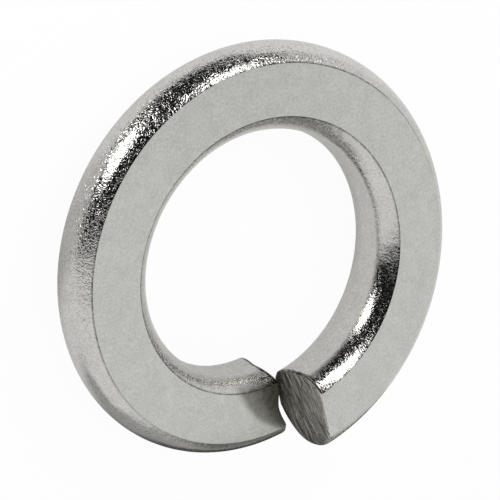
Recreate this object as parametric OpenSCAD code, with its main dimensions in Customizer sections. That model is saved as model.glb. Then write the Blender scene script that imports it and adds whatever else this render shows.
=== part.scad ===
// Spring lock washer for an M12 bolt: one open turn of thick spring steel wire, coiled to a
// left-hand helix and cut through, so that the two ends stand one above the other at the split.
// Millimetres. The bore axis is Z, the split points to -Y, the low end touches z = 0 and the
// high end is on the +X side of the split. Seen from +Z the turn climbs clockwise.

/* [Bore] */
// Diameter of the bore land, which passes over the bolt shank
bore_d = 12.7; // [12.2:0.1:13]

/* [Wire section] */
// Radial width of the section, from the bore land to the crown of the rim
section_w = 4.2; // [4:0.05:4.5]
// Thickness of the section, from the lower seat to the upper seat
section_t = 3.3; // [3:0.05:3.5]
// Width of the flat upper seat
upper_flat_w = 2.54; // [2.3:0.02:2.8]
// Width of the narrower flat lower seat
lower_flat_w = 1.6; // [1.3:0.05:1.9]
// Depth of the bore side's bulge, from the upper seat's inner edge to the bore land
bore_bulge = 0.8; // [0.7:0.02:0.9]
// Height by which the bore crown is pressed flat into a cylindrical land
land_trim = 0.05; // [0.03:0.01:0.08]

/* [Turn] */
// Climb of the helix over one full turn
rise = 2.8; // [2.5:0.05:3.1]
// Gap between the two cut ends along the mean circle
slit_gap = 0.4; // [0.35:0.05:0.9]

/* [Cut ends] */
// Lean of the low end cut away from the bore axis, in degrees
low_cut_lean = 8; // [5:0.5:11]
// Lean of the high end cut away from the bore axis, in degrees
high_cut_lean = 10; // [7:0.5:11]
// Turn of the low end cut away from the radial line, in degrees
low_cut_turn = 11; // [8:0.5:13]
// Turn of the high end cut away from the radial line, in degrees
high_cut_turn = 0; // [-2:0.5:2]
// Rounding left by the shear round the border of each cut
edge_break = 0.16; // [0.1:0.02:0.24]

/* [Hidden] */

steel = [0.73, 0.73, 0.70];

// Steps along the turn, along each barrelled side and along the rounding of a cut
turn_steps = 120;
side_steps = 14;
round_steps = 2;
// Steps that bring a section point onto the plane of a cut
cut_steps = 4;
land_facets = 240;

// Radii of the section: pressed land, crown before pressing, rim crown, middle
land_r = bore_d / 2;
crown_r = land_r - land_trim;
rim_r = land_r + section_w;
mean_r = (land_r + rim_r) / 2;
// Borders of the two seats; the lower one starts a little nearer the axis
lower_seat_shift = 0.1;
upper_in_r = land_r + bore_bulge;
upper_out_r = upper_in_r + upper_flat_w;
lower_in_r = upper_in_r - lower_seat_shift;
lower_out_r = lower_in_r + lower_flat_w;

// Place of the crown over the thickness, 0 at the upper seat and 1 at the lower seat
bore_crown_at = 0.4;
rim_crown_at = 0.42;
// Fullness of the curves: bore above and below its crown, rim above and below its crown
bore_up = [2, 0.8];
bore_down = [2.3, 0.55];
rim_up = [2, 0.7];
rim_down = [2.3, 0.9];

// Angles of the two cuts at the middle of the section; the turn is swept clockwise from the
// low end, so that its angle falls
half_gap = slit_gap / 2 / mean_r * 180 / PI;
low_angle = -90 - half_gap;
high_angle = -450 + half_gap;

// Height of the section's middle at the low cut, before the lowest point is set on z = 0
low_mid_z = section_t / 2;

// Barrelled side between an upper border, a crown and a lower border, at place u over the
// thickness. Both borders stay crisp.
function curve(x, f) = pow(max(0, 1 - pow(x, f[0])), f[1]);
function side(u, upper, crown, lower, at, up, down) =
    u < at
    ? upper + (crown - upper) * curve((at - u) / at, up)
    : lower + (crown - lower) * curve((u - at) / (1 - at), down);

// Places over the thickness, closer together near the two seats
function place(i) = (1 - cos(180 * i / side_steps)) / 2;

function rim_point(u) =
    [side(u, upper_out_r, rim_r, lower_out_r, rim_crown_at, rim_up, rim_down),
     section_t * (0.5 - u)];
function bore_point(u) =
    [side(u, upper_in_r, crown_r, lower_in_r, bore_crown_at, bore_up, bore_down),
     section_t * (0.5 - u)];

// Section as radius and height above its middle: rim downwards, then bore upwards
section = concat(
    [for (i = [0 : side_steps]) rim_point(place(i))],
    [for (i = [side_steps : -1 : 0]) bore_point(place(i))]
);
ring_points = len(section);

// Section drawn in by a distance d on every side, for the rounded border of a cut
function drawn_in(p, d) =
    [mean_r + (p[0] - mean_r) * (1 - 2 * d / section_w), p[1] * (1 - 2 * d / section_t)];

// A cut is a plane through the middle of the section. Along the wire it stands off by
// lean * height + turn * (radius - mean radius), here as [angle, lean, turn, side]; side is
// +1 where the wire lies at larger angles than the cut.
low_cut = [low_angle, -tan(low_cut_lean), tan(low_cut_turn), -1];
high_cut = [high_angle, tan(high_cut_lean), tan(high_cut_turn), 1];

// Angle past the cut's own angle at which section point p meets the plane, set back by d.
// The helix lowers the point as the angle grows, hence the repeated steps.
function cut_offset(cut, p, d, a = 0, n = cut_steps) =
    n == 0 ? a : cut_offset(cut, p, d, cut_step(cut, p, d, a), n - 1);
function cut_step(cut, p, d, a) =
    atan(cut[2])
    + asin((cut[1] * (p[1] - rise * a / 360) - cut[2] * mean_r + cut[3] * d * cut_scale(cut))
        / (p[0] * sqrt(1 + cut[2] * cut[2])));
function cut_scale(cut) = sqrt(1 + cut[1] * cut[1] + cut[2] * cut[2]);
function cut_angle(cut, p, d) = cut[0] + cut_offset(cut, p, d);

// Point of the wire for a section point p at angle a
function wire_point(p, a) =
    [p[0] * cos(a), p[0] * sin(a), low_mid_z + rise * (low_angle - a) / 360 + p[1]];

// Rounded border of a cut: at step k of round_steps the section is drawn in and set back
// along a quarter circle, from the cut face to the full section
function back_off(k) = edge_break * (1 - cos(90 * k / round_steps));
function draw_in(k) = edge_break * (1 - sin(90 * k / round_steps));
function border(cut, k) =
    [for (p = section) let (q = drawn_in(p, draw_in(k))) wire_point(q, cut_angle(cut, q, back_off(k)))];

// Full section at step i of the turn, between the two cuts
function turned(i) =
    [for (p = section)
        let (a0 = cut_angle(low_cut, p, edge_break), a1 = cut_angle(high_cut, p, edge_break))
        wire_point(p, a0 + (a1 - a0) * i / turn_steps)];

rings = concat(
    [for (k = [0 : round_steps - 1]) border(low_cut, k)],
    [for (i = [0 : turn_steps]) turned(i)],
    [for (k = [round_steps - 1 : -1 : 0]) border(high_cut, k)]
);
ring_count = len(rings);
flat_points = [for (ring = rings) for (p = ring) p];
lowest = min([for (p = flat_points) p[2]]);

// Middle of each cut face
mid_point = [mean_r, 0];
low_mid = wire_point(mid_point, cut_angle(low_cut, mid_point, 0));
high_mid = wire_point(mid_point, cut_angle(high_cut, mid_point, 0));
points = concat(flat_points, [low_mid, high_mid]);
low_mid_index = len(flat_points);
high_mid_index = low_mid_index + 1;

function next(j) = (j + 1) % ring_points;
wall_faces = [
    for (i = [0 : ring_count - 2]) for (j = [0 : ring_points - 1])
        let (a = i * ring_points + j, b = i * ring_points + next(j), c = a + ring_points,
            d = b + ring_points)
        each [[a, c, b], [b, c, d]]
];
low_faces = [for (j = [0 : ring_points - 1]) [low_mid_index, j, next(j)]];
last_ring = (ring_count - 1) * ring_points;
high_faces = [for (j = [0 : ring_points - 1]) [high_mid_index, last_ring + next(j), last_ring + j]];

// The open turn with its two cut faces; the cylinder presses the bore crown flat into the land
module lock_washer() {
    color(steel)
    difference() {
        translate([0, 0, -lowest])
            polyhedron(points = points, faces = concat(wall_faces, low_faces, high_faces), convexity = 6);
        translate([0, 0, -section_t])
            cylinder(h = rise + 3 * section_t, r = land_r, $fn = land_facets);
    }
}

lock_washer();
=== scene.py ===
"""Dress of the spring lock washer: one open turn of thick spring steel wire.

The wire is wound and sheared to the same section, helix and cuts as in the part's source. Its
finishes are a satin seat above and below, a bright rim and bore with the skin of cold forming,
and dull sheared ends.
"""
from math import atan2, cos, degrees, pi, radians, sin, sqrt, tan

import bmesh
import bpy
from mathutils import Matrix, Vector


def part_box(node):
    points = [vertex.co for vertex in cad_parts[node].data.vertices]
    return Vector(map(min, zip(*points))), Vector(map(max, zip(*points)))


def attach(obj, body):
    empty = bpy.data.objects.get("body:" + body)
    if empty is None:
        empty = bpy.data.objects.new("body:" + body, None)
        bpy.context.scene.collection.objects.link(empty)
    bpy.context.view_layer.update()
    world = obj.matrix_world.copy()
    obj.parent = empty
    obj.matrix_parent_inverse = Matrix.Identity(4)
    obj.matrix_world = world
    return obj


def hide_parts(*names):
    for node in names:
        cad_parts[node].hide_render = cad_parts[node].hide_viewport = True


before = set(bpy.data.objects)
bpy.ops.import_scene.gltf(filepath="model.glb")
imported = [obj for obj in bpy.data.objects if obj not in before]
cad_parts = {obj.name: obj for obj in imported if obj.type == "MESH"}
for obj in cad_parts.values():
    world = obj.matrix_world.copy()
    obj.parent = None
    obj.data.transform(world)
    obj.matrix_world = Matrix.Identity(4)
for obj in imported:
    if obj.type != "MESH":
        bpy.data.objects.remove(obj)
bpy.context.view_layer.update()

MM = 0.001

# Sizes of the washer in mm, as in the part's source
LAND_R = 6.35
SECTION_W = 4.2
SECTION_T = 3.3
UPPER_FLAT_W = 2.54
LOWER_FLAT_W = 1.6
LOWER_SEAT_SHIFT = 0.1
BORE_BULGE = 0.8
LAND_TRIM = 0.05
RISE = 2.8
SLIT_GAP = 0.4
EDGE_BREAK = 0.16

# Lift that sets the lowest point of the low end on z = 0
LIFT = 0.014

# Distances by which the rim and the heights stay inside the solid's box
RIM_INSIDE = 0.006
HEIGHT_INSIDE = 0.002

CROWN_R = LAND_R - LAND_TRIM
RIM_R = LAND_R + SECTION_W - RIM_INSIDE
MEAN_R = LAND_R + SECTION_W / 2
UPPER_IN_R = LAND_R + BORE_BULGE
UPPER_OUT_R = UPPER_IN_R + UPPER_FLAT_W
LOWER_IN_R = UPPER_IN_R - LOWER_SEAT_SHIFT
LOWER_OUT_R = LOWER_IN_R + LOWER_FLAT_W

# Barrelled sides: place of the crown over the thickness, 0 at the upper seat and 1 at the lower
# one, then power and root of the curve above the crown and below it
RIM_BARREL = (0.42, (2, 0.7), (2.3, 0.9))
BORE_BARREL = (0.4, (2, 0.8), (2.3, 0.55))

# Angles of the two cuts at the middle of the section; the turn climbs as the angle falls
HALF_GAP = degrees(SLIT_GAP / 2 / MEAN_R)
LOW_ANGLE = -90 - HALF_GAP
HIGH_ANGLE = -450 + HALF_GAP

# Each cut: angle, lean, turn, and the side of the wire (-1 where the wire's angles are smaller)
LOW_CUT = (LOW_ANGLE, -tan(radians(8)), tan(radians(11)), -1)
HIGH_CUT = (HIGH_ANGLE, tan(radians(10)), 0.0, 1)

# Steps over a side, across a seat and along the turn; the first steps of a side beside each seat
# make way for the painted dark line of shade
SIDE_STEPS = 26
SIDE_STEPS_LEFT_OUT = 4
SEAT_STEPS = 12
TURN_STEPS = 420

# Angle at the back of the turn where the winding starts, and how far past a cut it runs
WIND_FROM = -270.0
PAST_THE_CUT = 9.0

# Y in mm below which an arm's faces are near its cut
NEAR_THE_CUT = -3

# Rings of the rounded border of a cut, rings of its face, and rings that stay bright and take
# the painted dark line of shade on the bore side
BORDER_RINGS = 4
FACE_RINGS = 10
BRIGHT_RINGS = 2

# Distances in metres within which a vertex lies on a cut, and doubles are merged
ON_THE_CUT = 1e-8
MERGED_WITHIN = 1e-7

# Least upward part of a seat's normal, and the angle past which an edge is sharp
SEAT_UPRIGHT = 0.98
SHARP_ANGLE = radians(24)

# X in mm below which a vertex belongs to the low end: for its corners, and for its tarnish and
# painted shade
LOW_END_CORNERS = -0.12
LOW_END_TARNISH_AND_SHADE = -0.05

# Corners of the low end that the shear drags, in mm: radius, how far back, pull, reach
DRAGGED = ((UPPER_IN_R, 0.5, 0.45, 1.6), (UPPER_OUT_R, 0.1, 0.08, 0.7))

# Darkening of the low end's seat in mm, partly tarnish and partly painted shade and reflection of
# the high end: length along the bore, losses of length towards the rim, width of its edge, length
# of its slow part, and depth down the flank of the bore
TARNISH_LONG = 2.9
TARNISH_LOSS = (0.9, 1.1)
TARNISH_EDGE = 0.6
TARNISH_SLOW = 1.8
TARNISH_FLANK = 0.4
# Shares of that darkening in the edge and in the slow part
TARNISH_SHARES = (0.7, 0.3)
# Painted shade round the bottom of the rim, for the shaded floor seen in it: X in mm where it
# starts, length to full strength, power of its growth, share at the seat's border, growth down
# the rim, and share on the outer part of the seat, painted shade there too
RIM_PAINTED_SHADE_FROM = -7
RIM_PAINTED_SHADE_LONG = 6
RIM_PAINTED_SHADE_POWER = 1.5
RIM_PAINTED_SHADE_LEAST = 0.4
RIM_PAINTED_SHADE_GROWTH = 3
SEAT_PAINTED_SHADE = 0.3

# Width in mm of the painted dark line of shade along the borders of the seats, and of the
# seat's clean edge
EDGE_SHADE_WIDE = 0.09
SEAT_EDGE = 0.012
# Share of the painted dark line of shade on the rim: at the axis, change per mm of X and of Y,
# and its least
RIM_EDGE_SHADE = (0.6, -0.04, 0.1)
RIM_EDGE_SHADE_LEAST = 0.2

# Colours of the darker and of the lighter steel in each finish
SEAT_STEEL = ((0.52, 0.525, 0.49), (0.67, 0.675, 0.635))
FORMED_STEEL = ((0.53, 0.52, 0.49), (0.73, 0.72, 0.69))
SHEARED_STEEL = ((0.13, 0.124, 0.108), (0.76, 0.735, 0.67))
# Brown of the tarnish and painted shade
TARNISH_AND_SHADE_BROWN = (0.18, 0.168, 0.145)
# Black of the painted dark line of shade
EDGE_SHADE_BLACK = (0.04, 0.037, 0.032)

SEAT_ROUGHNESS = 0.24
SHEARED_ROUGHNESS = 0.40
# Roughness that the coarser grains add to the formed sides, over this span of the grain
GRAIN_ROUGHNESS = 0.20
GRAIN_SPAN = (0.45, 0.65)

# Share of the fine grain in the specks of a finish, and the span of the noise that they cover
SEAT_FINE = 0.7
FORMED_FINE = 0.75
SPECK_SPAN = (0.35, 0.65)

# Noises of the surface, with their scale in waves per metre
MOTTLE = dict(scale=1300.0, detail=4.0, roughness=0.6)
GRAIN = dict(scale=9000.0, detail=2.0, roughness=0.6)
SWELL = dict(scale=1500.0, detail=1.0)
SHADE_AND_TARNISH_BREAKS = dict(scale=3000.0, detail=2.0)
# Two crossing sets of wrinkles: scale, and width of a wrinkle in the noise
WRINKLES = ((4300.0, 0.11), (6100.0, 0.07))
# Span of the noise that breaks the tarnish, the painted shade and the painted dark line of shade,
# and the least share it leaves
TARNISH_AND_SHADE_BROKEN = (0.3, 0.7, 0.84)
EDGE_SHADE_BROKEN = (0.3, 0.6, 0.5)

# Relief depths in metres
SEAT_GRAIN_DEPTH = 0.000005
SHEARED_GRAIN_DEPTH = 0.000010
SWELL_DEPTH = 0.00002
TEAR_DEPTH = 0.00007

# Direction towards the back of the turn, and the places along it in metres between which the
# orange peel deepens
TO_THE_BACK = Vector((0, 1, 0))
PEEL_DEEPENS = (-0.003, 0.001)

# Path of the shear blade over a cut face, across it, and out of the face, with the waves per
# metre of the torn steel along each
SHEAR_WAVES = ((Vector((0, -0.94, 0.34)).normalized(), 900.0),
               (Vector((0, 0.34, 0.94)).normalized(), 4800.0),
               (Vector((1, 0, 0)), 2000.0))
# Streaks and tears in those stretched coordinates
STREAKS = dict(scale=1.0, detail=4.0, roughness=0.65, distortion=0.6)
TEARS = dict(scale=0.7, detail=0.0, distortion=0.8)
# Span of the streaks and the brightness that they reach
STREAK_SPAN = (0.38, 0.66)
STREAK_BRIGHT = 0.62
# Width of a tear in its noise, and the brightness left in it
TEAR_WIDE = 0.04
TEAR_LEAST = 0.1
# Direction in which the high cut face grows lighter, where in metres, and how much
LIGHTER_TOWARDS = Vector((0, 0.48, 0.877))
LIGHTER_SPAN = (-0.0006, 0.0020)
LIGHTER_BY = 0.42

# Places of the finishes among the washer's materials
SEAT, RIM, BORE, END = 0, 1, 2, 3


# ---------------------------------------------------------------- shader helpers

def new_group(name, inputs, outputs):
    """A node group with named value or colour sockets, and its first two nodes."""
    group = bpy.data.node_groups.new(name, "ShaderNodeTree")
    for label, kind, value in inputs:
        socket = group.interface.new_socket(label, in_out="INPUT", socket_type=kind)
        if value is not None:
            socket.default_value = value
    for label, kind in outputs:
        group.interface.new_socket(label, in_out="OUTPUT", socket_type=kind)
    return group, group.nodes.new("NodeGroupInput"), group.nodes.new("NodeGroupOutput")


def node(tree, kind, **settings):
    """A new node with its settings."""
    made = tree.nodes.new(kind)
    for key, value in settings.items():
        setattr(made, key, value)
    return made


def math_node(tree, operation, *values):
    """Result of a sum on sockets and numbers."""
    made = node(tree, "ShaderNodeMath", operation=operation)
    for socket, value in zip(made.inputs, values):
        if isinstance(value, (int, float)):
            socket.default_value = value
        else:
            tree.links.new(value, socket)
    return made.outputs[0]


def dotted(tree, vector, axis):
    """Length of a vector along an axis."""
    made = node(tree, "ShaderNodeVectorMath", operation="DOT_PRODUCT")
    made.inputs[1].default_value = axis
    tree.links.new(vector, made.inputs[0])
    return made.outputs["Value"]


def noise(tree, vector, scale, detail, roughness=0.5, distortion=0.0):
    """Noise about 0.5 over a vector."""
    made = node(tree, "ShaderNodeTexNoise")
    made.inputs["Distortion"].default_value = distortion
    made.inputs["Scale"].default_value = scale
    made.inputs["Detail"].default_value = detail
    made.inputs["Roughness"].default_value = roughness
    tree.links.new(vector, made.inputs["Vector"])
    return made.outputs["Fac"]


def off_middle(tree, value):
    """Distance of a noise from its middle, which is zero along wandering lines."""
    return math_node(tree, "ABSOLUTE", math_node(tree, "SUBTRACT", value, 0.5))


def spread(tree, value, low, high, to_low=0.0, to_high=1.0):
    """A value's span from low to high, stretched over another one and clamped to it."""
    made = node(tree, "ShaderNodeMapRange", clamp=True)
    for socket, number in zip(made.inputs[1:5], (low, high, to_low, to_high)):
        socket.default_value = number
    tree.links.new(value, made.inputs[0])
    return made.outputs[0]


def mixed_colour(tree, factor, first, second, blend="MIX"):
    """Mix of two colours, each a socket or a tuple."""
    made = node(tree, "ShaderNodeMix", data_type="RGBA", blend_type=blend)
    tree.links.new(factor, made.inputs["Factor"])
    for socket, value in ((made.inputs[6], first), (made.inputs[7], second)):
        if isinstance(value, tuple):
            socket.default_value = (*value, 1.0)
        else:
            tree.links.new(value, socket)
    return made.outputs[2]


def bump(tree, height, distance, normal=None):
    """Normal of a relief, laid over another normal."""
    made = node(tree, "ShaderNodeBump")
    made.inputs["Strength"].default_value = 1.0
    made.inputs["Distance"].default_value = distance
    tree.links.new(height, made.inputs["Height"])
    if normal:
        tree.links.new(normal, made.inputs["Normal"])
    return made.outputs["Normal"]


# ---------------------------------------------------------------- shared surface effects

def formed_skin_group():
    """Orange-peel skin of the free sides: short wandering wrinkles in a smooth ground."""
    group, ins, outs = new_group(
        "formed_skin", [("Vector", "NodeSocketVector", None), ("Fineness", "NodeSocketFloat", 1.0)],
        [("Height", "NodeSocketFloat"), ("Swell", "NodeSocketFloat")])
    fine = node(group, "ShaderNodeVectorMath", operation="SCALE")
    group.links.new(ins.outputs["Vector"], fine.inputs[0])
    group.links.new(ins.outputs["Fineness"], fine.inputs["Scale"])
    wrinkles = []
    for scale, wide in WRINKLES:
        wander = noise(group, fine.outputs[0], scale, 0.0)
        wrinkles.append(spread(group, off_middle(group, wander), 0.0, wide))
    group.links.new(math_node(group, "MULTIPLY", *wrinkles), outs.inputs["Height"])
    group.links.new(noise(group, ins.outputs["Vector"], **SWELL), outs.inputs["Swell"])
    return group


def fine_grain_group():
    """Fine mottling and grain of the steel."""
    group, ins, outs = new_group(
        "fine_grain", [("Vector", "NodeSocketVector", None)],
        [("Mottle", "NodeSocketFloat"), ("Grain", "NodeSocketFloat")])
    group.links.new(noise(group, ins.outputs["Vector"], **MOTTLE), outs.inputs["Mottle"])
    group.links.new(noise(group, ins.outputs["Vector"], **GRAIN), outs.inputs["Grain"])
    return group


def shade_and_tarnish_group():
    """Brown darkening, partly tarnish and partly painted shade, and a painted dark line of shade
    along the seat borders, broken up by the grain.
    """
    group, ins, outs = new_group(
        "shade_and_tarnish_film", [("Vector", "NodeSocketVector", None), ("Clean", "NodeSocketColor", None)],
        [("Color", "NodeSocketColor")])
    broken = noise(group, ins.outputs["Vector"], **SHADE_AND_TARNISH_BREAKS)

    def broken_share(attribute, breaks):
        painted = node(group, "ShaderNodeAttribute", attribute_name=attribute)
        return math_node(group, "MULTIPLY", painted.outputs["Fac"], spread(group, broken, *breaks))

    darkened = mixed_colour(group, broken_share("tarnish_and_shade", TARNISH_AND_SHADE_BROKEN), ins.outputs["Clean"],
                          TARNISH_AND_SHADE_BROWN, "MULTIPLY")
    group.links.new(mixed_colour(group, broken_share("edge_shade", EDGE_SHADE_BROKEN), darkened, EDGE_SHADE_BLACK),
                    outs.inputs["Color"])
    return group


FORMED_SKIN = formed_skin_group()
FINE_GRAIN = fine_grain_group()
SHADE_AND_TARNISH = shade_and_tarnish_group()


def start_material(name, roughness):
    """Bare steel, and the place on the washer that its patterns follow."""
    material = bpy.data.materials.new(name)
    material.use_nodes = True
    tree = material.node_tree
    shader = tree.nodes["Principled BSDF"]
    shader.inputs["Metallic"].default_value = 1.0
    shader.inputs["Roughness"].default_value = roughness
    place = node(tree, "ShaderNodeTexCoord").outputs["Object"]
    return material, tree, shader, place


def placed_group(tree, group, place, **values):
    """A shared effect placed in a material."""
    made = node(tree, "ShaderNodeGroup", node_tree=group)
    tree.links.new(place, made.inputs["Vector"])
    for label, value in values.items():
        made.inputs[label].default_value = value
    return made


def steel_colour(tree, shader, place, clean):
    """Base colour under the tarnish, the painted shade and the painted dark lines of shade."""
    film = placed_group(tree, SHADE_AND_TARNISH, place)
    tree.links.new(clean, film.inputs["Clean"])
    tree.links.new(film.outputs["Color"], shader.inputs["Base Color"])


def specks(tree, grain, fine):
    """Share of the lighter steel, from the grain and the mottling."""
    both = math_node(tree, "ADD", math_node(tree, "MULTIPLY", grain.outputs["Mottle"], 1 - fine),
                     math_node(tree, "MULTIPLY", grain.outputs["Grain"], fine))
    return spread(tree, both, *SPECK_SPAN)


def satin_seat():
    """Flat rolled seat: satin, with fine mottling."""
    material, tree, shader, place = start_material("satin_seat", SEAT_ROUGHNESS)
    grain = placed_group(tree, FINE_GRAIN, place)
    steel_colour(tree, shader, place,
                 mixed_colour(tree, specks(tree, grain, SEAT_FINE), *SEAT_STEEL))
    tree.links.new(bump(tree, grain.outputs["Grain"], SEAT_GRAIN_DEPTH), shader.inputs["Normal"])
    return material


def formed_side(name, roughness, fineness, grain_depth, wrinkle_depth, at_split):
    """Free barrelled side: bright, with orange peel of which a share is left at the split."""
    material, tree, shader, place = start_material(name, roughness)
    skin = placed_group(tree, FORMED_SKIN, place, Fineness=fineness)
    grain = placed_group(tree, FINE_GRAIN, place)
    steel_colour(tree, shader, place,
                 mixed_colour(tree, specks(tree, grain, FORMED_FINE), *FORMED_STEEL))
    tree.links.new(spread(tree, grain.outputs["Grain"], *GRAIN_SPAN, roughness,
                          roughness + GRAIN_ROUGHNESS), shader.inputs["Roughness"])
    rough = bump(tree, grain.outputs["Grain"], grain_depth)
    swelled = bump(tree, skin.outputs["Swell"], SWELL_DEPTH, rough)
    worked = spread(tree, dotted(tree, place, TO_THE_BACK), *PEEL_DEEPENS, at_split, 1.0)
    peel = math_node(tree, "MULTIPLY", skin.outputs["Height"], worked)
    tree.links.new(bump(tree, peel, wrinkle_depth, swelled), shader.inputs["Normal"])
    return material


def sheared_end():
    """Cut end: dull, torn along the path of the shear blade, brighter towards the upper seat."""
    material, tree, shader, place = start_material("sheared_end", SHEARED_ROUGHNESS)
    grain = placed_group(tree, FINE_GRAIN, place)
    stretched = node(tree, "ShaderNodeCombineXYZ")
    for (axis, waves), socket in zip(SHEAR_WAVES, stretched.inputs):
        tree.links.new(dotted(tree, place, axis * waves), socket)
    streaks = noise(tree, stretched.outputs[0], **STREAKS)
    tears = off_middle(tree, noise(tree, stretched.outputs[0], **TEARS))
    # Lighter along the streaks, and towards the upper seat
    lightened = math_node(tree, "ADD", spread(tree, streaks, *STREAK_SPAN, 0.0, STREAK_BRIGHT),
                     spread(tree, dotted(tree, place, LIGHTER_TOWARDS), *LIGHTER_SPAN, 0.0,
                            LIGHTER_BY))
    bright = math_node(tree, "MULTIPLY", lightened, spread(tree, tears, 0.0, TEAR_WIDE, TEAR_LEAST))
    steel_colour(tree, shader, place, mixed_colour(tree, bright, *SHEARED_STEEL))
    rough = bump(tree, grain.outputs["Grain"], SHEARED_GRAIN_DEPTH)
    tree.links.new(bump(tree, streaks, TEAR_DEPTH, rough), shader.inputs["Normal"])
    return material


# ---------------------------------------------------------------- the washer

def clamped(share):
    """A share kept between 0 and 1."""
    return min(1.0, max(0.0, share))


def eased(share):
    """A share from 0 to 1 with a soft start and end."""
    return share * share * (3 - 2 * share)


def bulge(x, power, root):
    """Height of a side's curve, 1 at its crown where x is 0 and 0 at its border where x is 1."""
    return max(0.0, 1.0 - x ** power) ** root


def side_radius(u, upper, crown, lower, at, up, down):
    """Radius of a barrelled side at place u over the thickness."""
    if u < at:
        return upper + (crown - upper) * bulge((at - u) / at, *up)
    return lower + (crown - lower) * bulge((u - at) / (1 - at), *down)


def section_points():
    """Radius, height about the middle of the section, and painted shade, round the section.

    A thin painted dark line of shade lies on the outer flank of each seat border."""
    half = SECTION_T / 2
    kept = range(SIDE_STEPS_LEFT_OUT, SIDE_STEPS - SIDE_STEPS_LEFT_OUT + 1)
    places = [(1 - cos(pi * i / SIDE_STEPS)) / 2 for i in kept]

    def border(edge, outward, up, first):
        radius, height = first
        part = EDGE_SHADE_WIDE / abs(radius - edge)
        return [(edge - outward * SEAT_EDGE, up * half, 0.0),
                (edge, up * half, 1.0),
                (edge + (radius - edge) * part, up * half + (height - up * half) * part, 0.0)]

    def side(upper, crown, lower, barrel, least, outward):
        curve = [(max(least, side_radius(u, upper, crown, lower, *barrel)), SECTION_T * (0.5 - u))
                 for u in places]
        return (border(upper, outward, 1, curve[0]) + [(*point, 0.0) for point in curve]
                + border(lower, outward, -1, curve[-1])[::-1])

    def seat(start, end, height):
        return [(start + (end - start) * i / SEAT_STEPS, height, 0.0) for i in range(1, SEAT_STEPS)]

    rim = side(UPPER_OUT_R, RIM_R, LOWER_OUT_R, RIM_BARREL, 0, 1)
    bore = side(UPPER_IN_R, CROWN_R, LOWER_IN_R, BORE_BARREL, LAND_R, -1)
    return (rim + seat(LOWER_OUT_R, LOWER_IN_R, -half) + bore[::-1]
            + seat(UPPER_IN_R, UPPER_OUT_R, half))


def middle_height(angle):
    """Height of the section's middle at an angle of the turn, in mm."""
    return LIFT + SECTION_T / 2 + RISE * (LOW_ANGLE - angle) / 360


def cut_plane(cut, set_back):
    """Point and normal of a cut's plane, set back into the wire by some mm."""
    angle, lean, turn, side = cut
    a = radians(angle)
    outward, along = Vector((cos(a), sin(a), 0)), Vector((-sin(a), cos(a), 0))
    normal = (along - lean * Vector((0, 0, 1)) - turn * outward).normalized()
    middle = outward * MEAN_R + Vector((0, 0, middle_height(angle)))
    return (middle + normal * side * set_back) * MM, normal * -side


def wind_wire(bm):
    """Section at the back of the turn, spun both ways to a little past the two cuts."""
    edge_shade = bm.verts.layers.float.new("edge_shade")
    ring = []
    for radius, height, shade_share in section_points():
        vert = bm.verts.new((radius * MM, 0, (height + middle_height(WIND_FROM)) * MM))
        vert[edge_shade] = shade_share
        ring.append(vert)
    bmesh.ops.rotate(bm, verts=ring, cent=(0, 0, 0),
                     matrix=Matrix.Rotation(radians(WIND_FROM), 3, "Z"))
    edges = [bm.edges.new((ring[i - 1], ring[i])) for i in range(len(ring))]
    steps = TURN_STEPS // 2
    arms = []
    for stop in (LOW_ANGLE + PAST_THE_CUT, HIGH_ANGLE - PAST_THE_CUT):
        before = set(bm.faces)
        fall = -RISE * (stop - WIND_FROM) / 360 / steps
        bmesh.ops.spin(bm, geom=ring + edges, cent=(0, 0, 0), axis=(0, 0, 1),
                       dvec=(0, 0, fall * MM), angle=radians(stop - WIND_FROM), steps=steps,
                       use_merge=False, use_duplicate=False, use_normal_flip=False)
        arms.append([face for face in bm.faces if face not in before])
    # The painted dark line of shade on the rim is made stronger or weaker by place
    at_axis, per_x, per_y = RIM_EDGE_SHADE
    for vert in bm.verts:
        if vert.co.xy.length > MEAN_R * MM:
            share = at_axis + vert.co.y / MM * per_y + vert.co.x / MM * per_x
            vert[edge_shade] *= min(1.0, max(RIM_EDGE_SHADE_LEAST, share))
    return arms


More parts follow.
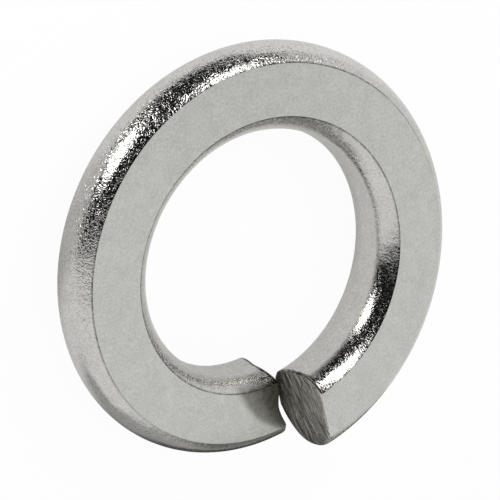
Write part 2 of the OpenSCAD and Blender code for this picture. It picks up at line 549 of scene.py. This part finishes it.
def shear_end(bm, arm, cut):
    """Cut an arm on its plane, round the border of the cut and face it with inner rings."""
    place, normal = cut_plane(cut, EDGE_BREAK)
    near = [face for face in arm
            if face.is_valid and face.calc_center_median().y < NEAR_THE_CUT * MM]
    edges = dict.fromkeys(edge for face in near for edge in face.edges)
    verts = dict.fromkeys(vert for face in near for vert in face.verts)
    made = bmesh.ops.bisect_plane(bm, geom=[*verts, *edges, *near], dist=ON_THE_CUT,
                                  plane_co=place, plane_no=normal, clear_outer=True,
                                  clear_inner=False)
    border = [item for item in made["geom_cut"] if isinstance(item, bmesh.types.BMEdge)]
    cap = bmesh.ops.edgeloop_fill(bm, edges=border)["faces"]
    centre = sum((vert.co for vert in cap[0].verts), Vector()) / len(cap[0].verts)
    edge_shade = bm.verts.layers.float["edge_shade"]

    # Painted shade: a dark line on the bore side of the cut's border
    def bore_edge_shade(vert):
        return 1.0 if vert.co.xy.length < UPPER_IN_R * MM else 0.0

    for vert in cap[0].verts:
        vert[edge_shade] = bore_edge_shade(vert)
    steps = [pi / 2 * step / BORDER_RINGS for step in range(1, BORDER_RINGS + 1)]
    sizes = [(1 - 2 * EDGE_BREAK * (1 - cos(turn)) / SECTION_T, EDGE_BREAK * sin(turn))
             for turn in steps]
    rounded = sizes[-1][0]
    sizes += [(rounded * (1 - i / FACE_RINGS), EDGE_BREAK) for i in range(1, FACE_RINGS)]
    drawn, raised = 1.0, 0.0
    dull = []
    for number, (wide, high) in enumerate(sizes):
        grown = bmesh.ops.extrude_face_region(bm, geom=cap)
        bmesh.ops.delete(bm, geom=cap, context="FACES_ONLY")
        cap = [item for item in grown["geom"] if isinstance(item, bmesh.types.BMFace)]
        verts = [item for item in grown["geom"] if isinstance(item, bmesh.types.BMVert)]
        about = centre + normal * raised * MM
        bmesh.ops.scale(bm, vec=(wide / drawn,) * 3, space=Matrix.Translation(-about), verts=verts)
        bmesh.ops.translate(bm, vec=normal * (high - raised) * MM, verts=verts)
        drawn, raised = wide, high
        for vert in verts:
            vert[edge_shade] = bore_edge_shade(vert) if number < BRIGHT_RINGS else 0.0
        if number >= BRIGHT_RINGS:
            dull += [face for vert in verts for face in vert.link_faces]
    return dull + cap


def drag_corners(bm):
    """The shear drags the upper corners of the low end towards the other end."""
    angle = radians(LOW_ANGLE)
    for radius, back, pull, reach in DRAGGED:
        corner = Vector((radius * cos(angle) - back, radius * sin(angle),
                         middle_height(LOW_ANGLE) + SECTION_T / 2)) * MM
        for vert in bm.verts:
            near = 1 - (vert.co - corner).length / (reach * MM)
            if near > 0 and vert.co.x < LOW_END_CORNERS * MM:
                vert.co.x += pull * MM * eased(near)


def tarnish_and_shade_low_end(bm):
    """Darkening of the low end's seat, longest along the bore, partly tarnish and partly painted
    shade and reflection of the high end; and painted shade round its rim.
    """
    tarnish_and_shade = bm.verts.layers.float.new("tarnish_and_shade")
    for vert in bm.verts:
        place = vert.co / MM
        if place.x > LOW_END_TARNISH_AND_SHADE or place.y > 0:
            continue
        over = place.z - middle_height(degrees(atan2(place.y, place.x))) - SECTION_T / 2
        across = (place.xy.length - UPPER_IN_R) / UPPER_FLAT_W
        along = clamped((place.x - RIM_PAINTED_SHADE_FROM) / RIM_PAINTED_SHADE_LONG)
        # Seat: tarnish with painted shade and reflection of the high end, and a painted shade
        # gradient towards the rim
        if over > -TARNISH_FLANK and across < 1.0:
            reach = TARNISH_LONG - TARNISH_LOSS[0] * across - TARNISH_LOSS[1] * across ** 3
            inside = reach + place.x
            flank = min(1.0, 1 + over / TARNISH_FLANK)
            patch = flank * (TARNISH_SHARES[0] * eased(clamped(inside / TARNISH_EDGE))
                             + TARNISH_SHARES[1] * clamped(inside / TARNISH_SLOW))
            vert[tarnish_and_shade] = max(patch, SEAT_PAINTED_SHADE * along * max(0.0, across) ** 2)
        # Rim: painted shade, for the shaded floor seen in it
        elif across >= 1.0:
            down = min(1.0, RIM_PAINTED_SHADE_LEAST + (across - 1) * RIM_PAINTED_SHADE_GROWTH)
            vert[tarnish_and_shade] = along ** RIM_PAINTED_SHADE_POWER * down


def set_in_cad_box(bm):
    """Bring the height between the lowest and highest corners of the solid."""
    low, high = (corner[2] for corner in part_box("lock_washer"))
    least = min(vert.co.z for vert in bm.verts)
    most = max(vert.co.z for vert in bm.verts)
    fit = (high - low - 2 * HEIGHT_INSIDE * MM) / (most - least)
    bmesh.ops.translate(bm, vec=(0, 0, low - least), verts=bm.verts)
    bmesh.ops.scale(bm, vec=(1, 1, min(fit, 1.0)), verts=bm.verts)
    bmesh.ops.translate(bm, vec=(0, 0, HEIGHT_INSIDE * MM), verts=bm.verts)


def give_finishes(bm, cuts):
    """Seats, rim, bore and cut faces each get their finish."""
    for face in bm.faces:
        face.smooth = True
        radius = face.calc_center_median().xy.length / MM
        face.material_index = RIM if radius > MEAN_R else BORE
        if abs(face.normal.z) > SEAT_UPRIGHT and LOWER_IN_R < radius < UPPER_OUT_R:
            face.material_index = SEAT
    for face in cuts:
        if face.is_valid:
            face.material_index = END


def add_object(name, data):
    """An object for a mesh, lamp or camera, put in the scene."""
    added = bpy.data.objects.new(name, data)
    bpy.context.scene.collection.objects.link(added)
    return added


def finished_mesh(name, bm):
    """The mesh of a finished bmesh, which is freed."""
    mesh = bpy.data.meshes.new(name)
    bm.to_mesh(mesh)
    bm.free()
    return mesh


def make_washer():
    """The turn of wire, wound, sheared, dragged, tarnished and painted with shade, and finished."""
    bm = bmesh.new()
    low_arm, high_arm = wind_wire(bm)
    cuts = shear_end(bm, low_arm, LOW_CUT) + shear_end(bm, high_arm, HIGH_CUT)
    bmesh.ops.remove_doubles(bm, verts=bm.verts, dist=MERGED_WITHIN)
    bmesh.ops.recalc_face_normals(bm, faces=bm.faces)
    drag_corners(bm)
    tarnish_and_shade_low_end(bm)
    give_finishes(bm, cuts)
    set_in_cad_box(bm)
    mesh = finished_mesh("washer", bm)
    mesh.set_sharp_from_angle(angle=SHARP_ANGLE)
    mesh.materials.append(satin_seat())
    mesh.materials.append(formed_side(
        "formed_rim", roughness=0.09, fineness=1.2, grain_depth=0.000006,
        wrinkle_depth=0.0000065, at_split=0.1))
    mesh.materials.append(formed_side(
        "formed_bore", roughness=0.08, fineness=1.6, grain_depth=0.000010,
        wrinkle_depth=0.0000018, at_split=1.0))
    mesh.materials.append(sheared_end())
    return add_object("washer", mesh)


washer = make_washer()
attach(washer, "root")
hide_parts("lock_washer")


# ---------------------------------------------------------------- camera

CAMERA_AT = Vector((-41.277, 36.803, 72.427)) * MM
CAMERA_AIM = Vector((-0.2078, 0.2278, 3.0)) * MM
CAMERA_ROLL = 114.196

lens = bpy.data.cameras.new("camera")
lens.sensor_width = 36.0
lens.lens = 130.792
lens.clip_start = 0.001
camera = add_object("camera", lens)
look = (CAMERA_AIM - CAMERA_AT).to_track_quat("-Z", "Y").to_matrix().to_4x4()
camera.matrix_world = (Matrix.Translation(CAMERA_AT) @ look
                       @ Matrix.Rotation(radians(CAMERA_ROLL), 4, "Z"))
bpy.context.scene.camera = camera


# ---------------------------------------------------------------- studio

WASHER_MIDDLE = Vector((0, 0, 3)) * MM

# Plane on which the washer comes to rest: slopes along X and Y, and height at the axis in mm
REST_PLANE = (0.05855, 0.08619, 0.637)

# Floor: radius in metres, its paint, and the shares of plain white that the camera and the
# steel see in it
FLOOR_R = 0.6
FLOOR_SIDES = 96
FLOOR_PAINT = 0.8
FLOOR_TO_CAMERA = 0.95
FLOOR_TO_STEEL = 0.22

# White round the washer: light that it gives, and how bright the camera sees it
TENT_LIGHT = 0.85
TENT_TO_CAMERA = 1.0

# Heights in mm over the floor of the cards on it, and of those laid over them
CARD_OVER = 0.02
UPPER_CARD_OVER = 0.04

# Outlines of what lies on the floor, in mm right and up of the washer's middle in the view
GREY_CLOTH = [(-70, -8), (-30, -5), (-9, -3.5), (-8, 10), (-14, 12), (-30, 12), (-70, 5)]
BLACK_CLOTH = [(-68, -9), (-41, 5.6), (-25, 9.5), (-14, 9.5), (-11, 9.3), (-8, 11), (-4, 13.3),
               (-0.5, 16), (2.5, 20), (6, 28), (11, 45), (40, 200), (-200, 200), (-200, -30)]
SHADED_FLOOR = [(-16, -10), (-6, -5), (8, -6.5), (14, -12), (40, -60), (120, -400), (-120, -400),
                (-30, -40)]
CONTACT_SHADE = [(-9, -7), (8, -6.5), (14, -12), (18, -24), (4, -24), (-7, -18)]

# Outlines on the tent round the washer, in degrees right and up of the camera axis
TENT_OPENING = [(-60, -12), (-30, -22), (0, -26), (30, -29), (52, -30), (64, 0), (60, 25),
                (54, 45), (55, 62), (30, 78), (0, 85), (-30, 78), (-55, 65), (-54, 45),
                (-57, 20), (-60, 5)]
TENT_EDGE = [(55, -60), (106, -86), (62, -112), (18, -122), (24, -92), (42, -74)]
TENT_SHADE = [(-70, -92), (-30, -90), (0, -88), (30, -84), (60, -62), (110, -90), (80, -140),
              (-40, -140)]


def in_view(right, up, back):
    """World place given in mm from the washer's middle along the camera's own three axes."""
    return WASHER_MIDDLE + camera.matrix_world.to_3x3() @ Vector((right, up, back)) * MM


def soft_lamp(name, place, long_way, length, width, watts):
    """Oval lamp that faces the washer, its length along a direction of the view."""
    lamp = bpy.data.lights.new(name, "AREA")
    lamp.shape = "ELLIPSE"
    lamp.size, lamp.size_y = length * MM, width * MM
    lamp.energy = watts
    holder = add_object(name, lamp)
    centre = in_view(*place)
    away = (centre - WASHER_MIDDLE).normalized()
    along = camera.matrix_world.to_3x3() @ Vector(long_way)
    along = (along - along.dot(away) * away).normalized()
    turn = Matrix((along, away.cross(along), away)).transposed().to_4x4()
    holder.matrix_world = Matrix.Translation(centre) @ turn
    holder.visible_camera = False


def dark_card(name, corners, grey, soft=0.0):
    """Dark card with the given corners, seen only in the steel, fading over its last mm."""
    bm = bmesh.new()
    verts = [bm.verts.new(corner) for corner in corners]
    edges = [bm.edges.new((verts[i - 1], verts[i])) for i in range(len(verts))]
    bmesh.ops.triangle_fill(bm, edges=edges, use_beauty=True)
    dark = bm.verts.layers.float.new("dark")
    if soft:
        bmesh.ops.inset_region(bm, faces=bm.faces[:], thickness=soft * MM, use_even_offset=True,
                               use_boundary=True)
    for vert in bm.verts:
        vert[dark] = 0.0 if soft and vert.is_boundary else 1.0
    mesh = finished_mesh(name, bm)
    card = add_object(name, mesh)
    material = bpy.data.materials.new(name)
    material.use_nodes = True
    tree = material.node_tree
    shader = tree.nodes["Principled BSDF"]
    shader.inputs["Base Color"].default_value = (grey, grey, grey, 1)
    shader.inputs["Roughness"].default_value = 1.0
    shader.inputs["Specular IOR Level"].default_value = 0.0
    cover = node(tree, "ShaderNodeAttribute", attribute_name="dark")
    tree.links.new(cover.outputs["Fac"], shader.inputs["Alpha"])
    mesh.materials.append(material)
    card.visible_camera = False
    card.visible_diffuse = False
    card.visible_shadow = False


def on_floor(right, up, over):
    """World place some mm over the floor, at mm right and up of the washer's middle in view."""
    near, far = in_view(right, up, 50), in_view(right, up, -50)
    slope_x, slope_y, height = REST_PLANE
    normal = Vector((-slope_x, -slope_y, 1))
    spot = Vector((0, 0, height + over)) * MM
    return near + (far - near) * ((spot - near).dot(normal) / (far - near).dot(normal))


def lay_card(name, outline, over, grey, soft=0.0):
    """Dark card that lies on the floor."""
    dark_card(name, [on_floor(right, up, over) for right, up in outline], grey, soft)


def towards(right, up, distance):
    """World place at a distance in mm, so many degrees right and up of the camera axis."""
    turn = sqrt(right * right + up * up)
    flat = sin(radians(turn)) / turn
    return in_view(right * flat * distance, up * flat * distance, cos(radians(turn)) * distance)


def hang_card(name, outline, distance, grey, soft=0.0):
    """Dark card that hangs round the washer at a distance in mm."""
    dark_card(name, [towards(right, up, distance) for right, up in outline], grey, soft)


def floor_paint():
    """Matt white, plain white to the camera, in which the washer's shadow still shows.

    It is see-through from below."""
    material = bpy.data.materials.new("white_floor")
    material.use_nodes = True
    tree = material.node_tree
    tree.nodes.remove(tree.nodes["Principled BSDF"])
    matt = node(tree, "ShaderNodeBsdfDiffuse")
    matt.inputs["Color"].default_value = (FLOOR_PAINT, FLOOR_PAINT, FLOOR_PAINT, 1)
    white = node(tree, "ShaderNodeEmission")
    white.inputs["Strength"].default_value = 1.0
    ray = node(tree, "ShaderNodeLightPath")
    seen = math_node(
        tree, "ADD", math_node(tree, "MULTIPLY", ray.outputs["Is Camera Ray"], FLOOR_TO_CAMERA),
        math_node(tree, "MULTIPLY", ray.outputs["Is Glossy Ray"], FLOOR_TO_STEEL))
    above = node(tree, "ShaderNodeMixShader")
    tree.links.new(seen, above.inputs[0])
    tree.links.new(matt.outputs[0], above.inputs[1])
    tree.links.new(white.outputs[0], above.inputs[2])
    both = node(tree, "ShaderNodeMixShader")
    tree.links.new(node(tree, "ShaderNodeNewGeometry").outputs["Backfacing"], both.inputs[0])
    tree.links.new(above.outputs[0], both.inputs[1])
    tree.links.new(node(tree, "ShaderNodeBsdfTransparent").outputs[0], both.inputs[2])
    tree.links.new(both.outputs[0], tree.nodes["Material Output"].inputs["Surface"])
    return material


def make_floor():
    """White floor in the plane on which the washer comes to rest."""
    bm = bmesh.new()
    bmesh.ops.create_circle(bm, cap_ends=True, segments=FLOOR_SIDES, radius=FLOOR_R)
    slope_x, slope_y, height = REST_PLANE
    normal = Vector((-slope_x, -slope_y, 1)).normalized()
    bmesh.ops.rotate(bm, verts=bm.verts, cent=(0, 0, 0),
                     matrix=Vector((0, 0, 1)).rotation_difference(normal).to_matrix())
    bmesh.ops.translate(bm, vec=(0, 0, height * MM), verts=bm.verts)
    mesh = finished_mesh("floor", bm)
    mesh.materials.append(floor_paint())
    add_object("floor", mesh)


def light_tent():
    """White light from all round."""
    world = bpy.data.worlds.new("studio")
    bpy.context.scene.world = world
    world.use_nodes = True
    tree = world.node_tree
    backdrop = tree.nodes["Background"]
    backdrop.inputs["Color"].default_value = (1, 1, 1, 1)
    ray = node(tree, "ShaderNodeLightPath")
    tree.links.new(
        spread(tree, ray.outputs["Is Camera Ray"], 0.0, 1.0, TENT_LIGHT, TENT_TO_CAMERA),
        backdrop.inputs["Strength"])


make_floor()
light_tent()
hang_card("tent_opening", TENT_OPENING, distance=250, grey=0.015)
lay_card("grey_cloth", GREY_CLOTH, CARD_OVER, grey=0.58, soft=3)
lay_card("black_cloth", BLACK_CLOTH, UPPER_CARD_OVER, grey=0.015)
# shaded_floor and contact_shade: painted shadow of the washer on the floor, seen only in the steel
lay_card("shaded_floor", SHADED_FLOOR, CARD_OVER, grey=0.42, soft=4)
lay_card("contact_shade", CONTACT_SHADE, UPPER_CARD_OVER, grey=0.10, soft=3)
hang_card("tent_edge", TENT_EDGE, distance=80, grey=0.25, soft=9)
hang_card("tent_shade", TENT_SHADE, distance=90, grey=0.50, soft=12)
soft_lamp("lamp_left", place=(-29, 27, 38), long_way=(-0.72, 0.69, 0), length=34, width=19,
          watts=0.0105)
soft_lamp("lamp_right", place=(28, 21.5, 35), long_way=(0.35, -0.87, 0.3), length=29, width=13,
          watts=0.0064)

bpy.context.scene.view_settings.view_transform = "Standard"
